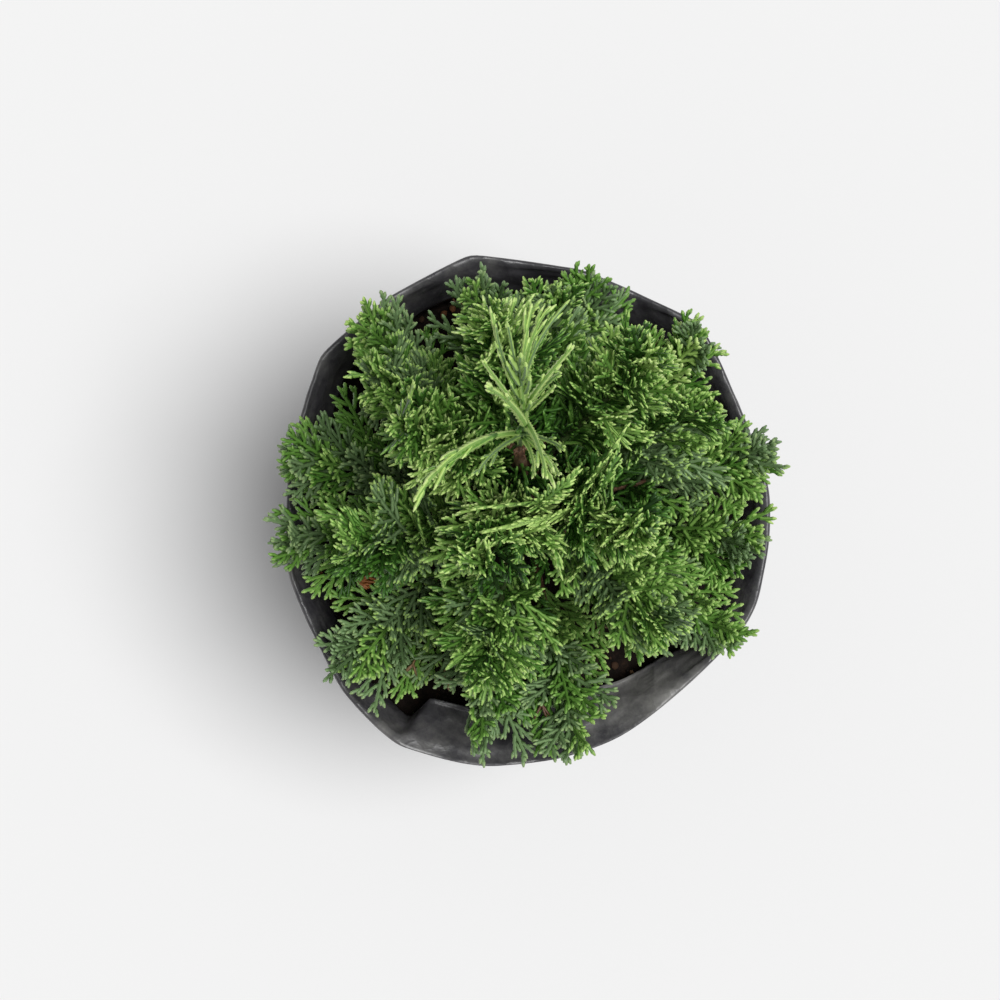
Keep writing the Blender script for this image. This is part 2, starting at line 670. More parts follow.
# %% The plant's framework
TRUNK_BASE, TRUNK_TIP = trunk_low.z, trunk_high.z
TRUNK_LEAN = Vector((-0.0030, 0.0115, 0.0))
LEAN_POWER = 1.35
TRUNK_FOOT_RADIUS, TRUNK_TIP_RADIUS = 0.0044, 0.0013
FLARE_RADIUS, FLARE_HEIGHT = 0.0026, 0.0060
SEAT_GAP = 0.0003

# Each limb: azimuth of its tip in degrees, height where it leaves the trunk, distance of the tip
# from the tier's middle, height of the tip
LIMBS = {
    "lower": (
        (12, 0.168, 0.0780, 0.199), (44, 0.160, 0.0780, 0.195), (74, 0.171, 0.0735, 0.203),
        (101, 0.161, 0.0725, 0.196), (130, 0.170, 0.0780, 0.202), (167, 0.161, 0.0770, 0.196),
        (189, 0.171, 0.0780, 0.202), (221, 0.162, 0.0775, 0.196), (257, 0.169, 0.0770, 0.201),
        (282, 0.160, 0.0790, 0.195), (327, 0.167, 0.0780, 0.200), (351, 0.160, 0.0730, 0.195),
    ),
    "middle": (
        (22, 0.196, 0.0580, 0.241), (84, 0.204, 0.0570, 0.238), (144, 0.193, 0.0590, 0.239),
        (202, 0.202, 0.0590, 0.242), (256, 0.194, 0.0600, 0.236), (312, 0.203, 0.0600, 0.240),
    ),
    "upper": (
        (38, 0.234, 0.0390, 0.285), (110, 0.241, 0.0385, 0.281), (172, 0.233, 0.0390, 0.284),
        (246, 0.240, 0.0385, 0.280), (318, 0.235, 0.0390, 0.283),
    ),
}
TIER_MIDDLE = {"lower": (0.0, 0.0), "middle": (0.0010, 0.0050), "upper": (0.0030, 0.0135)}
BEND_REACH, BEND_RISE = 0.55, 0.26
BOUGH_SHARE = 0.20
BOUGH_ROOT_RADIUS = 0.0015
MASS_WIDTH = {"lower": 0.0260, "middle": 0.0270, "upper": 0.0240}


def trunk_share(z):
    return min(max((z - TRUNK_BASE) / (TRUNK_TIP - TRUNK_BASE), 0.0), 1.0)


def trunk_axis(z):
    lean = TRUNK_LEAN * trunk_share(z) ** LEAN_POWER
    return Vector((lean.x, lean.y, z))


def trunk_radius(z):
    taper = between(TRUNK_FOOT_RADIUS, TRUNK_TIP_RADIUS, trunk_share(z))
    return taper + FLARE_RADIUS * math.exp(-(z - TRUNK_BASE) / FLARE_HEIGHT)


class Limb:
    """One bough and the stem of its foliage, on one curve from the trunk to the tip."""

    def __init__(self, tier, number, azimuth, leave, reach, tip_height):
        self.tier = tier
        self.name = f"{tier}_{number:02d}"
        self.width = MASS_WIDTH[tier]
        self.seed = sum(map(ord, tier)) * 100 + number
        self.tip = Vector((*TIER_MIDDLE[tier], tip_height)) + polar(math.radians(azimuth), reach)
        axis = trunk_axis(leave)
        way = self.tip - axis
        self.bend = axis + Vector((way.x * BEND_REACH, way.y * BEND_REACH, way.z * BEND_RISE))
        slope = (self.bend - axis).normalized()
        clear = trunk_radius(leave) + BOUGH_ROOT_RADIUS * slope.z + SEAT_GAP
        self.root = axis + slope * clear / slope.xy.length
        self.side = Vector((-way.y, way.x, 0.0)).normalized()

    def at(self, t):
        return self.root * (1 - t) ** 2 + self.bend * 2 * t * (1 - t) + self.tip * t * t

    def along(self, t):
        return ((self.bend - self.root) * (1 - t) + (self.tip - self.bend) * t).normalized()

    def across(self, t, y, z):
        """A way across the curve: y to its side and z towards its upper side."""
        return self.side * y + self.along(t).cross(self.side) * z

    def stem_t(self, share):
        return between(BOUGH_SHARE, 1, share)


limbs = [
    Limb(tier, number, *row)
    for tier, rows in LIMBS.items() for number, row in enumerate(rows, 1)
]
print("limbs", {tier: len(rows) for tier, rows in LIMBS.items()})

# %% [markdown]
# Young bark of such a conifer is thin and comes off in narrow upright strips. The relief is in
# the mesh: noise that is stretched along the limb lifts strips. A finer one, as bump, roughens
# them.
# The colours run from grey-brown on the strips to red-brown in the cracks.

# %% Bark
STRIP_ROUND, STRIP_LONG = 2.6, 90.0
NEARLY_UPRIGHT = 0.9
BARK_RELIEF = 0.16
# The share of a limb over which its bark closes at either end
BARK_END = 0.04
# Faces round and along the limb
TRUNK_GRID = (22, 130)

bark, bark_shader = new_finish("flaking_bark", 0.86, 0.25)
grain = noise_value(bark, 420, detail=6, roughness=0.65, stretch=(1, 1, 0.22))
coloured(bark, bark_shader, grain, (
    (0.34, (0.045, 0.020, 0.012)), (0.52, (0.150, 0.078, 0.045)), (0.72, (0.300, 0.205, 0.140)),
))
bumped(bark, bark_shader, ((noise_value(bark, 700, detail=5, stretch=(1, 1, 0.15)), 0.0005),))


def bark_skin(name, columns, rows, centre, radius, seed):
    """Bark round a limb: centre and radius are functions of the share of the way along it."""
    step = 0.5 / rows

    def place(round_share, along):
        middle = centre(along)
        way = (centre(min(along + step, 1.0)) - centre(max(along - step, 0.0))).normalized()
        side = way.orthogonal().normalized() if abs(way.z) < NEARLY_UPRIGHT else Vector((1, 0, 0))
        side = (side - way * side.dot(way)).normalized()
        turn = round_share * math.tau
        out = side * math.cos(turn) + way.cross(side) * math.sin(turn)
        rough = noise.noise(Vector((
            math.cos(turn) * STRIP_ROUND, math.sin(turn) * STRIP_ROUND + seed, middle.z * STRIP_LONG,
        )))
        closed = smoothstep(0.0, BARK_END, along) * smoothstep(0.0, BARK_END, 1 - along)
        size = radius(along) * (1 + BARK_RELIEF * rough)
        return middle + out * size * (closed if 0 < along < 1 else 0.0)

    return rolled_sheet(name, columns, rows, place)


def trunk_height(along):
    return between(TRUNK_BASE, TRUNK_TIP, along)


trunk_mesh = bark_skin(
    "trunk_bark", *TRUNK_GRID, lambda along: trunk_axis(trunk_height(along)),
    lambda along: trunk_radius(trunk_height(along)), 0.0,
)
add_piece("trunk_bark", trunk_mesh, [bark], ["trunk"])

# %% [markdown]
# Each bough runs on as the stem of its foliage, so its bark is one skin from the trunk outwards.
# It starts a little inside the trunk. Towards the tips the bark is young and green.

# %% The boughs
BOUGH_RADII = ((0.0, 0.0016), (0.2, 0.0011), (0.6, 0.0008), (1.0, 0.0005))
BOUGH_INTO_TRUNK, INTO_TRUNK_SHARE, BOUGH_END = 0.0010, 0.05, 0.93
BOUGH_GRID = (8, 46)
YOUNG_FROM = {"lower": 0.45, "middle": 0.30, "upper": 0.0}

young_bark, young_shader = new_finish("young_green_bark", 0.7, 0.3)
coloured(young_bark, young_shader, noise_value(young_bark, 380), (
    (0.35, (0.034, 0.048, 0.014)), (0.60, (0.048, 0.090, 0.022)),
))


def bough_skin(limb):
    into_trunk = limb.along(0.0) * -BOUGH_INTO_TRUNK

    def centre(along):
        return limb.at(along * BOUGH_END) + into_trunk * max(1 - along / INTO_TRUNK_SHARE, 0.0)

    def radius(along):
        return interpolate(BOUGH_RADII, along)

    return bark_skin("bough", *BOUGH_GRID, centre, radius, limb.seed)


bm = bmesh.new()
for limb in limbs:
    skin = bough_skin(limb)
    for face in skin.polygons:
        outward = (face.center - limb.root).length / (limb.tip - limb.root).length
        face.material_index = int(outward > YOUNG_FROM[limb.tier])
    bm.from_mesh(skin)
    bpy.data.meshes.remove(skin)
boughs_mesh = bpy.data.meshes.new("boughs_bark")
bm.to_mesh(boughs_mesh)
bm.free()
boughs_mesh.shade_smooth()
add_piece("boughs_bark", boughs_mesh, [bark, young_bark],
          [f"bough_{limb.name}" for limb in limbs])

# %% [markdown]
# ## One shoot of scale leaves
#
# The leaves are scales in crossed pairs. Each pair to the sides stands out a little at its tips,
# and between two such pairs one on the flat faces covers the shoot. So a shoot is a flattened
# cord with a saw edge. The scales to the sides are lighter than those on the face. Here a shoot
# is a tube with four corners: two low ones at its sides, which swell and step in once for each
# scale, and two nearer together on its face, which swell in the other half of the step. That
# leaves a darker strip between two light saw edges, and it is the fewest faces that show them.
#
# Sixteen thousand shoots can't be modelled one by one, so all of one length are made at once, as
# arrays: a row of rings for each, placed along its own slight curve.

# %% Shoots from arrays
SCALE_LENGTH = 0.0024
THICKNESS, UNDER_SHARE, FACE_SHARE = 0.80, 0.50, 0.40
# Side and face half-widths of the rings, as shares of the shoot's own half-width
BASE_RING, WIDE_RING, STEP_RING = (0.60, 0.60), (1.00, 0.74), (0.68, 1.00)
LAST_WIDE_RING, TIP_RING = (0.90, 0.88), (0.34, 0.38)
WIDE_AT, LAST_WIDE_AT = 0.76, 0.52
TAPER, TAPER_POWER = 0.16, 1.5


class Shoots:
    """Collects shoots and makes one joined mesh of them."""

    def __init__(self):
        self.rows = []

    def add(self, base, way, bend, normal, length, width, slots, scale=SCALE_LENGTH, taper=TAPER):
        """A shoot from base along way, bent by bend at its tip, flat across normal."""
        scales = max(1, round(length / scale))
        self.rows.append((scales, (*base, *way, *bend, *normal, length, width, taper), slots))

    def mesh(self, name):
        points, faces, slots, shift = [], [], [], 0
        for scales in sorted({row[0] for row in self.rows}):
            group = [row for row in self.rows if row[0] == scales]
            numbers = np.array([row[1] for row in group])
            p, f, s = shoot_arrays(scales, numbers, np.array([row[2] for row in group]))
            points.append(p)
            faces.append(f + shift)
            slots.append(s)
            shift += len(p)
        return mesh_of_arrays(name, *map(np.concatenate, (points, faces, slots)))


def unit(vectors):
    return vectors / np.linalg.norm(vectors, axis=-1, keepdims=True)


def ring_table(scales):
    """For each ring: its share of the length, side half-width and flat half-width."""
    rings = [(0.0, *BASE_RING)]
    for n in range(scales - 1):
        rings += [((n + WIDE_AT) / scales, *WIDE_RING), ((n + 1) / scales, *STEP_RING)]
    rings += [((scales - 1 + LAST_WIDE_AT) / scales, *LAST_WIDE_RING), (1.0, *TIP_RING)]
    return np.array(rings)


def shoot_arrays(scales, numbers, slots):
    base, way, bend, normal = (numbers[:, None, i:i + 3] for i in (0, 3, 6, 9))
    length, width, taper = (numbers[:, None, i:i + 1] for i in (12, 13, 14))
    rings = ring_table(scales)
    share, side, flat = (rings[None, :, i:i + 1] for i in range(3))
    centre = base + length * (way * share + bend * share ** 2 / 2)
    along = unit(way + bend * share)
    across = unit(np.cross(np.broadcast_to(normal, along.shape), along))
    facing = np.cross(along, across)
    half = width / 2 * (1 - taper * share ** TAPER_POWER)
    out, inner = across * half * side, across * half * flat * FACE_SHARE
    up = facing * half * flat * THICKNESS
    corners = [
        centre + out - up * UNDER_SHARE, centre + inner + up,
        centre - inner + up, centre - out - up * UNDER_SHARE,
    ]
    points = np.stack(corners, axis=2)
    count = len(rings)
    one = [(4 * j + i, 4 * j + (i + 1) % 4, 4 * j + 4 + (i + 1) % 4, 4 * j + 4 + i)
           for j in range(count - 1) for i in range(4)]
    one += [(3, 2, 1, 0), tuple(range(4 * count - 4, 4 * count))]
    faces = np.array(one)[None] + (np.arange(len(numbers)) * 4 * count)[:, None, None]
    # Round each ring: a light edge, the darker face, a light edge, and the dark underside
    part = np.tile((2, 1, 2, 0), (2 * scales, 1))
    part[0] = (1, 0, 1, 0) if scales > 2 else (2, 1, 2, 0)
    part[-1] = (3, 2, 3, 1)
    part = np.concatenate([part.ravel(), [0, 3]])
    return points.reshape(-1, 3), faces.reshape(-1, 4), slots[:, part].ravel()


print("rings of a shoot of three scales", ring_table(3).round(2).tolist())

# %% [markdown]
# ## The greens
#
# New growth at the tips is a light yellow-green, last year's shoots are a full green, and the
# old foot of a spray is dark. The lower sprays, which get less light, are greyer and bluer than
# the upper ones. A spray's colours are drawn once for the whole spray, because a real spray is
# all of one age: one for the foot and underside of its shoots, one for the scales on their face,
# one for those at the sides and one for the tips. Sprays near the foot of a stem are the oldest
# and stand in the shade, so they are darkest.

# %% Greens
SHOOT_ROUGHNESS, SHOOT_SPECULAR = 0.44, 0.38
GREENS = {
    "green_dark": (0.014, 0.042, 0.008),
    "green_old": (0.030, 0.094, 0.012),
    "green_deep": (0.062, 0.172, 0.022),
    "green_full": (0.130, 0.290, 0.048),
    "green_fresh": (0.240, 0.430, 0.094),
    "green_light": (0.380, 0.580, 0.152),
    "green_tip": (0.545, 0.740, 0.225),
    "green_pale_tip": (0.660, 0.820, 0.320),
    "blue_old": (0.044, 0.098, 0.028),
    "blue_deep": (0.100, 0.172, 0.064),
    "blue_full": (0.152, 0.256, 0.104),
    "blue_light": (0.220, 0.340, 0.148),
    "blue_tip": (0.305, 0.430, 0.172),
    "dead_tan": (0.230, 0.140, 0.070),
    "dead_rust": (0.270, 0.095, 0.024),
    "dead_brown": (0.120, 0.060, 0.034),
}
SLOT = {name: number for number, name in enumerate(GREENS)}
greens = [
    new_finish(name, SHOOT_ROUGHNESS, SHOOT_SPECULAR, colour)[0] for name, colour in GREENS.items()
]
print(len(greens), "colours for shoots")

# %% [markdown]
# Which colours a spray takes is drawn from a few choices for its tier, each with a weight. The
# picture shows some patches of the crown darker or fresher than their tier. They are given as
# seen on one level, and a spray that is seen there takes the choices of the patch instead.

# %% The colours a spray takes
# The choices of each tier and patch: a weight, and the colours of foot, face, sides and tip
PALETTES = {
    "lower": (
        (0.40, "blue_deep blue_full blue_light blue_tip"),
        (0.24, "blue_deep blue_deep blue_full blue_light"),
        (0.18, "green_deep green_full green_full green_fresh"),
        (0.18, "blue_deep green_full green_fresh green_light"),
    ),
    "middle": (
        (0.34, "green_old green_full green_fresh green_light"),
        (0.20, "green_old green_full green_fresh green_tip"),
        (0.28, "blue_old blue_full blue_light green_light"),
        (0.18, "green_old green_deep green_full green_light"),
    ),
    "upper": (
        (0.30, "green_full green_fresh green_light green_tip"),
        (0.26, "green_old green_full green_fresh green_tip"),
        (0.17, "green_fresh green_light green_light green_pale_tip"),
        (0.27, "green_old green_deep green_full green_light"),
    ),
    "leader": (
        (0.35, "green_deep green_fresh green_tip green_pale_tip"),
        (0.35, "green_deep green_full green_light green_tip"),
        (0.30, "blue_old blue_full green_light green_tip"),
    ),
    "deep": (
        (0.50, "green_dark green_deep green_full green_light"),
        (0.50, "green_old green_deep green_full green_fresh"),
    ),
    "inner": (
        (0.50, "green_dark green_old green_deep green_deep"),
        (0.50, "green_dark green_old green_deep green_full"),
    ),
}
# Patches by their choices: x, y and radius in millimetres. Where two meet, the first counts.
PATCH_LEVEL = 0.24
PATCHES = {
    "upper": ((42, 40, 10), (32, 23, 6)),
    "deep": (
        (-21, 40, 7), (-18, 31, 7), (-14, 21, 5), (-3, 38, 7), (18, 29, 7), (-8, -54, 6), (-38, 15, 5),
    ),
    "inner": ((30, 3, 8), (-8, -21, 6), (-46, -20, 7), (7, 23, 8)),
    "middle": (
        (66, 2, 10), (-34, -6, 8), (-30, -41, 8), (-56, 7, 6), (-47, 50, 6), (47, -6, 12),
        (54, 13, 9), (58, -26, 9), (11, -36, 7), (-37, -29, 9),
    ),
}


def seen_on_level(point):
    """Where the camera sees a point on the level of the patches, in millimetres."""
    ray = point - CAMERA_PLACE
    return (CAMERA_PLACE + ray * ((PATCH_LEVEL - CAMERA_PLACE.z) / ray.z)).xy * 1000


def patch_or(tier, point):
    seen = seen_on_level(point)
    for choices, patches in PATCHES.items():
        if any((seen - Vector((x, y))).length < radius for x, y, radius in patches):
            return choices
    return tier


def spray_colours(dice, tier):
    weights, choices = zip(*PALETTES[tier])
    return tuple(SLOT[name] for name in dice.choices(choices, weights)[0].split())


print(sum(map(len, PATCHES.values())), "patches")

# %% [markdown]
# ## One spray
#
# A spray is a shoot with side shoots to its left and right by turns, all in one plane, and the
# longer side shoots have side shoots of their own. They are longest a third of the way up, which
# gives the fern-like outline. Nothing on it is quite straight or quite flat: every shoot bends
# forward, and each is turned a few degrees out of the plane. A shoot is handled as a row: foot,
# way, bend, the way its flat side faces, length, width and colours.

# %% A spray's shoots
# Side shoots: the step between them and how far from the tip they end, as a share of a step,
# and along the axis their length as a share of the spray's breadth
SIDE_STEP, SIDE_END = 0.0027, 0.6
SIDE_SWELL = ((0.0, 0.26), (0.22, 0.44), (0.42, 0.42), (0.75, 0.25), (1.0, 0.11))
SIDE_ANGLE, SIDE_ANGLE_AT_TIP, SIDE_ANGLE_JITTER = math.radians(46), math.radians(26), 0.08
FINE_STEP, FINE_ANGLE = 0.0031, math.radians(34)
FINE_LEAST, FINE_SHARE, FINE_SWELL = 0.0052, 0.50, (1.15, 0.6)
LEAST_SHOOT = 0.0020
AXIS_WIDTH, SIDE_WIDTH, FINE_WIDTH = 0.00178, 0.00166, 0.00156
OUT_OF_PLANE, LIFTED = 0.12, 0.03
FORWARD_BEND, AXIS_WANDER, AXIS_LIFT, SIDE_WANDER = 0.45, 0.18, 0.12, 0.05
# Between what shares the first place, the sizes and the steps are drawn
SIDE_FIRST, SIDE_SIZES, SIDE_STEPS = (0.8, 1.8), (0.75, 1.2), (0.75, 1.25)
FINE_FIRST, FINE_SIZES, FINE_STEPS = (0.26, 0.40), (0.7, 1.15), (0.8, 1.2)


def place_on_shoot(row, share):
    base, way, bend, _, length = row[:5]
    return base + length * (way * share + bend * share ** 2 / 2)


def way_on_shoot(row, share):
    return (row[1] + row[2] * share).normalized()


def by_turns(dice, place, sign, end, step, steps):
    """Places along a shoot up to its end, by turns on its left and its right."""
    while place < end:
        yield place, sign
        place += step * dice.uniform(*steps)
        sign = -sign


class Spray:
    """A flat spray of shoots on a slightly bent axis."""

    def __init__(self, dice, base, way, normal, length, colours, bend=None, breadth=None):
        self.dice, self.length, self.breadth = dice, length, breadth or length
        self.normal = (normal - way * normal.dot(way)).normalized()
        self.colours = colours
        if bend is None:
            bend = self.wander(AXIS_WANDER) + self.normal * AXIS_LIFT
        self.axis = self.row(base, way, bend, length, AXIS_WIDTH)

    def row(self, base, way, bend, length, width):
        return base, way, bend, self.normal, length, width, self.colours

    def wander(self, size):
        return Vector([self.dice.gauss(0, size) for _ in range(3)])

    def branch(self, along, sign, angle):
        """A way that leaves along to one side in the spray's plane, a little out of it."""
        side = self.normal.cross(along).normalized() * sign
        way = along * math.cos(angle) + side * math.sin(angle)
        return (way + self.normal * self.dice.gauss(LIFTED, OUT_OF_PLANE)).normalized()

    def branches(self):
        """For each side shoot the share of the axis it leaves at, its row and its own shoots'."""
        dice, length, found = self.dice, self.length, []
        first, side = SIDE_STEP * dice.uniform(*SIDE_FIRST), dice.choice((-1, 1))
        end = length - SIDE_STEP * SIDE_END
        for place, sign in by_turns(dice, first, side, end, SIDE_STEP, SIDE_STEPS):
            share = place / length
            size = self.breadth * interpolate(SIDE_SWELL, share) * dice.uniform(*SIDE_SIZES)
            angle = between(SIDE_ANGLE, SIDE_ANGLE_AT_TIP, share) + dice.gauss(0, SIDE_ANGLE_JITTER)
            along = way_on_shoot(self.axis, share)
            way = self.branch(along, sign, angle)
            bend = (along - way) * FORWARD_BEND + self.wander(SIDE_WANDER)
            if size > LEAST_SHOOT:
                row = self.row(place_on_shoot(self.axis, share), way, bend, size, SIDE_WIDTH)
                found.append((share, row, self.fine_shoots(row) if size > FINE_LEAST else []))
        return found

    def fine_shoots(self, bearer):
        dice, length, rows = self.dice, bearer[4], []
        most, fall = FINE_SWELL
        first, side = length * dice.uniform(*FINE_FIRST), dice.choice((-1, 1))
        end = length - LEAST_SHOOT
        for place, sign in by_turns(dice, first, side, end, FINE_STEP, FINE_STEPS):
            share = place / length
            size = length * FINE_SHARE * (most - fall * share) * dice.uniform(*FINE_SIZES)
            along = way_on_shoot(bearer, share)
            way = self.branch(along, sign, FINE_ANGLE)
            if size > LEAST_SHOOT:
                bend = (along - way) * FORWARD_BEND
                rows.append(self.row(place_on_shoot(bearer, share), way, bend, size, FINE_WIDTH))
        return rows


trial = Spray(random.Random(1), Vector(), Vector((1, 0, 0)), Vector((0, 0, 1)), 0.026, ()).branches()
print("a spray 26 mm long has", len(trial), "side shoots, which bear", sum(len(b[2]) for b in trial))

# %% [markdown]
# ## How sprays grow on a limb
#
# The rule is the one that made the solids, carried on to finer steps. Along each stem the twigs
# leave at a growing share of its length, turning round it by the golden angle, opening wide near
# the foot and closing towards the tip, longest in the middle. The last spray carries on the stem.
# The solids have three or four such twigs to a mass. Here a mass has 31 to 74 of them, and every
# one bears a whole spray. Some longer ones, set by hand, close gaps where the picture shows
# foliage.
#
# Lower sprays lie nearly flat, to catch what light there is. Higher up they stand more and more
# on edge and point upwards, so from above the upper ring shows its tips. The twigs that follow
# the rule are kept short enough that they hardly reach past the tip of their limb.

# %% Habit of the three tiers
# For each tier: twigs, share of the stem where they start and end, pull upwards at the foot and
# at the tip, how flat the sprays lie, and how far they open
HABIT = {
    "lower": (31, 0.08, 0.92, 0.26, 0.08, 0.88, 0.82),
    "middle": (43, -0.10, 0.94, 0.50, 0.26, 0.62, 1.05),
    "upper": (74, -0.20, 0.96, 0.72, 0.30, 0.36, 1.20),
}
# Below this share of the stem the sprays are old and dark
INNER_BELOW = {"lower": 0.10, "middle": 0.00, "upper": 0.02}
# The longer twigs of each limb: the share of its stem where one leaves, its heading in degrees,
# its rise and its length in millimetres
EXTRA_TWIGS = {
    "lower_01": ((0.70, 329, 0.40, 22),),
    "lower_03": ((0.50, 45, 0.40, 28),),
    "lower_04": ((0.50, 143, 0.80, 28),),
    "lower_05": ((0.50, 204, 0.45, 28),),
    "lower_06": ((0.50, 98, 0.75, 32), (0.70, 209, 0.50, 25)),
    "lower_07": ((0.50, 230, 0.40, 29),),
    "lower_08": (
        (0.40, 262, 0.30, 37), (0.60, 258, 0.30, 31), (0.22, 256, 0.20, 34), (0.05, 244, 0.25, 32),
    ),
    "lower_09": (
        (0.25, 220, 0.15, 34), (0.50, 284, 0.30, 32), (0.62, 268, 0.12, 20), (0.30, 268, 0.30, 28),
    ),
    "lower_10": (
        (0.10, 306, 0.15, 34), (0.50, 256, 0.50, 35), (0.55, 268, 0.12, 22), (0.30, 276, 0.30, 26),
    ),
    "lower_11": ((0.12, 298, 0.15, 34), (0.34, 306, 0.10, 24), (0.05, 312, 0.30, 30)),
    "lower_12": ((0.50, 324, 0.60, 34),),
    "upper_01": ((0.45, 10, 0.50, 20), (0.55, 62, 0.50, 20), (0.70, 20, 0.25, 16)),
    "middle_04": (
        (0.20, 200, 0.60, 26), (0.10, 185, 0.70, 26), (0.30, 215, 0.50, 24), (0.35, 240, 1.30, 22),
        (0.48, 275, 1.00, 20), (0.28, 300, 1.10, 20),
    ),
    "middle_05": ((0.30, 284, 0.25, 30), (0.50, 240, 0.20, 26), (0.20, 228, 0.40, 33)),
    "middle_06": (
        (0.20, 286, 0.25, 30), (0.45, 290, 0.20, 26), (0.10, 346, 0.50, 36), (0.30, 352, 0.35, 30),
    ),
}
print(sum(HABIT[limb.tier][0] for limb in limbs), "twigs by the rule,",
      sum(map(len, EXTRA_TWIGS.values())), "set by hand")

# %% [markdown]
# Each limb has dice of its own, so a change on one limb leaves the others as they are. A spray
# takes its colours by where it lies in the picture, a little beyond its middle.

# %% Twigs of one limb
GOLDEN_TURN = math.radians(137.5)
OPEN_ANGLE, CLOSED_ANGLE, ANGLE_JITTER = map(math.radians, (56, 25, 8))
# Along the stem, the length of its twigs as a share of the mass's width
TWIG_SWELL, LENGTH_JITTER = ((0.0, 0.80), (0.4, 1.0), (0.7, 0.85), (1.0, 0.60)), 0.14
# The share of the stem where its last spray starts
STEM_END = 0.84
PAST_TIP, LEAST_AHEAD = 0.0015, 0.2
COLOURED_AT = 0.6
FLAT_BY_HAND, FLAT_AT_END = 0.97, 0.9


def spray_on(dice, base, way, flat, length, tier):
    """A spray that lies flat by a share of 1, or else stands on edge, turned at random."""
    heading = dice.uniform(0, math.tau)
    normal = Vector((0, 0, 1)) * flat + polar(heading, 1 - flat)
    colours = spray_colours(dice, patch_or(tier, base + way * length * COLOURED_AT))
    return Spray(dice, base, way, normal, length, colours)


def twig_sprays(limb):
    dice = random.Random(limb.seed)
    count, first, last, rise_foot, rise_tip, flat, opening = HABIT[limb.tier]
    turn = dice.uniform(0, math.tau)
    outward = (limb.tip - limb.at(0)).xy.normalized()
    sprays = []
    for n in range(count):
        share = between(first, last, n / (count - 1))
        around = turn + GOLDEN_TURN * n
        t = limb.stem_t(share)
        side = limb.across(t, math.cos(around), math.sin(around))
        angle = between(OPEN_ANGLE, CLOSED_ANGLE, max(share, 0)) * opening
        angle += dice.gauss(0, ANGLE_JITTER)
        way = limb.along(t) * math.cos(angle) + side * math.sin(angle)
        way.z += between(rise_foot, rise_tip, share)
        way.normalize()
        length = limb.width * interpolate(TWIG_SWELL, share)
        length *= dice.uniform(1 - LENGTH_JITTER, 1 + LENGTH_JITTER)
        left = (limb.tip - limb.at(t)).xy.dot(outward) + PAST_TIP
        longest = left / max(way.xy.dot(outward), LEAST_AHEAD)
        tier = "inner" if share < INNER_BELOW[limb.tier] else limb.tier
        sprays.append(spray_on(dice, limb.at(t), way, flat, min(length, longest), tier))
    for share, heading, rise, length in EXTRA_TWIGS.get(limb.name, ()):
        base = limb.at(limb.stem_t(share))
        way = polar(math.radians(heading), 1.0, rise).normalized()
        sprays.append(spray_on(dice, base, way, FLAT_BY_HAND, length / 1000, limb.tier))
    end = limb.at(limb.stem_t(STEM_END))
    way = limb.tip - end
    sprays.append(spray_on(dice, end, way.normalized(), FLAT_AT_END, way.length, limb.tier))
    return sprays


print("the first limb bears", len(twig_sprays(limbs[0])), "sprays")

# %% [markdown]
# A shoot that would pierce the film, dip into the mix or run inside the trunk is left off, and
# so is one in the hollows that the picture shows: a dark one to the right of the leader, a small
# one in front of it, where a brown spot of the trunk shows, one to its left, three under the edge
# of the upper ring, and four beyond the lower sprays at the front, where the film shows.

# %% What a shoot keeps clear of
FILM_CLEAR, MIX_CLEAR, TRUNK_CLEAR = 0.0012, 0.0004, 0.0002
# Into how many steps a shoot is parted to look whether it is clear, and places round the rim
AXIS_STEPS, CLEAR_STEPS, RIM_PLACES = 6, 2, 600
# The foot and the top of each hollow's middle line, and its radius, all in millimetres
HOLLOWS = (
    ((8.2, 17.8, 256), (6.2, 11.8, 330), 9.2),
    ((-3.1, 12.8, 268), (-3.7, 7.8, 330), 3.4),
    ((-11.1, 21.7, 262), (-10.7, 15.2, 330), 4.0),
    ((-8.7, -17.2, 200), (-8.6, -19.0, 280), 1.5),
    ((0.5, -17.8, 200), (-0.6, -19.6, 280), 1.0),
    ((32.8, 4.8, 200), (27.1, -0.4, 290), 5.4),
    ((76.1, -46.7, 170), (68.6, -45.4, 230), 6.0),
    ((-25.6, -66.4, 165), (-24.0, -63.4, 225), 6.6),
    ((-22.3, -76.7, 165), (-21.0, -72.8, 225), 5.0),
    ((26.8, -74.8, 165), (23.7, -71.0, 225), 5.6),
)
hollows = [(Vector(foot) / 1000, Vector(top) / 1000, radius / 1000) for foot, top, radius in HOLLOWS]
rim_table = sorted(rim_at(n / RIM_PLACES)[:2] for n in range(RIM_PLACES))
rim_azimuths, rim_radii = zip(*rim_table)


def is_clear(point):
    reach = point.xy.length
    if point.z < BAG_HEIGHT + FILM_CLEAR:
        azimuth = math.atan2(point.y, point.x) % math.tau
        inside = np.interp(azimuth, rim_azimuths, rim_radii, period=math.tau)
        inside -= between(CUFF_IN, FLAP_IN, flap_share(azimuth))
        if reach > inside - FILM_CLEAR or point.z < mix_height(point.x, point.y) + MIX_CLEAR:
            return False
    for foot, top, radius in hollows:
        share = (point.z - foot.z) / (top.z - foot.z)
        if share > 0 and (point - foot.lerp(top, share)).xy.length < radius:
            return False
    if point.z < TRUNK_TIP:
        return (point - trunk_axis(point.z)).length > trunk_radius(point.z) + TRUNK_CLEAR
    return True


def clear_share(row, steps):
    """How far along a shoot stays clear, looked at in equal steps."""
    for step in range(steps):
        if not is_clear(place_on_shoot(row, (step + 1) / steps)):
            return step / steps
    return 1.0


